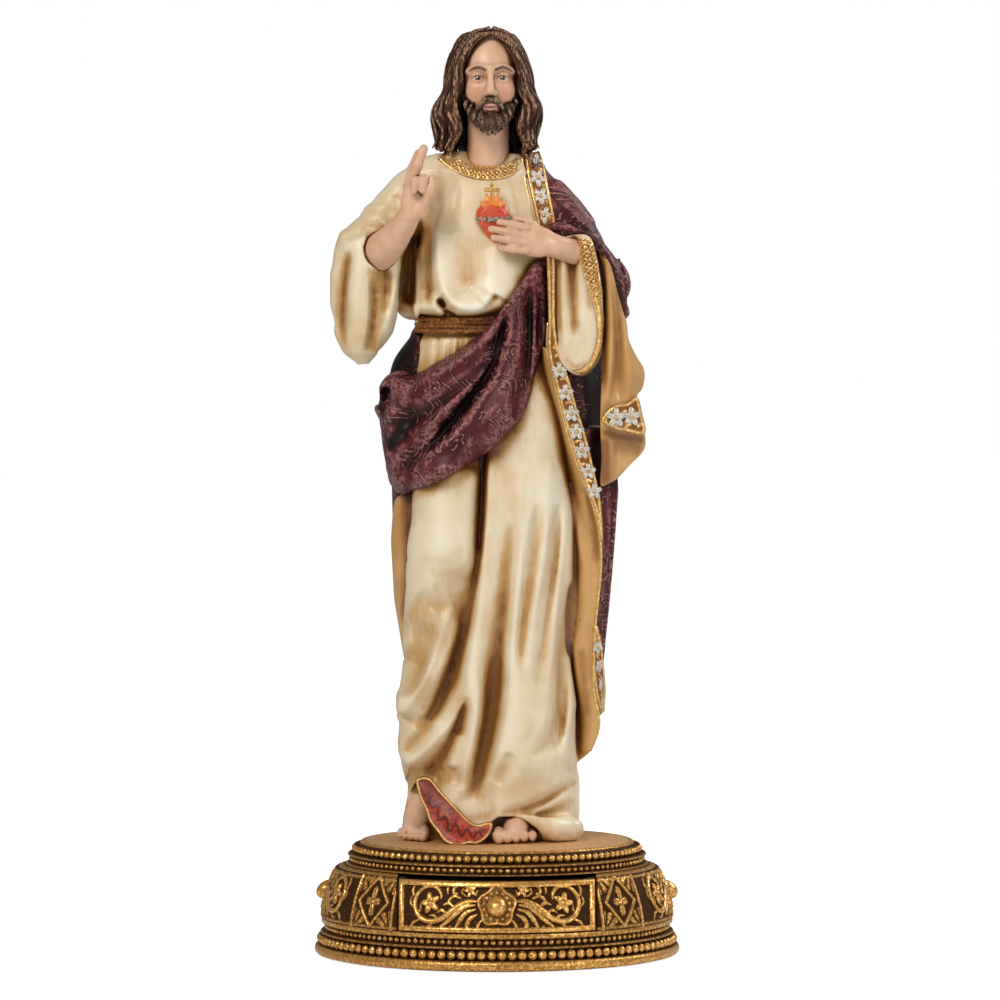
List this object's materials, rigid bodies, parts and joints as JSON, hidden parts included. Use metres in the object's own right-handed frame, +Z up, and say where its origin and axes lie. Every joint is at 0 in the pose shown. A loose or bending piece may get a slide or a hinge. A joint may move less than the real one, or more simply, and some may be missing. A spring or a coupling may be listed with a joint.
{
  "type": "sacred heart statue",
  "caption": "Painted resin statuette of a robed figure with one hand raised in blessing and one at the heart, on a round gilded plinth with a keepsake drawer",
  "frame": {"origin": "centre of the plinth's underside", "axes": "+Z up, the figure faces -Y, +X is its left hand's side"},
  "size_m": [0.1226, 0.1226, 0.31],
  "materials": {
    "painted_resin": "painted cold-cast resin: ivory robe with a brown wash, plum mantle with ochre lining, gold trims, satin",
    "antique_gold": "cast resin, antique gold rubbed over dark brown, satin",
    "antique_gold_drawer": "cast resin, antique gold rubbed over dark brown, satin"
  },
  "bodies": {
    "base": {"plinth": "antique_gold", "figure": "painted_resin"},
    "tray": {"drawer": "antique_gold_drawer"}
  },
  "joints": [
    {"name": "drawer_slide", "type": "slide", "parent": "base", "child": "tray", "axis": [0, -1, 0], "range_m": [0, 0.04]}
  ]
}
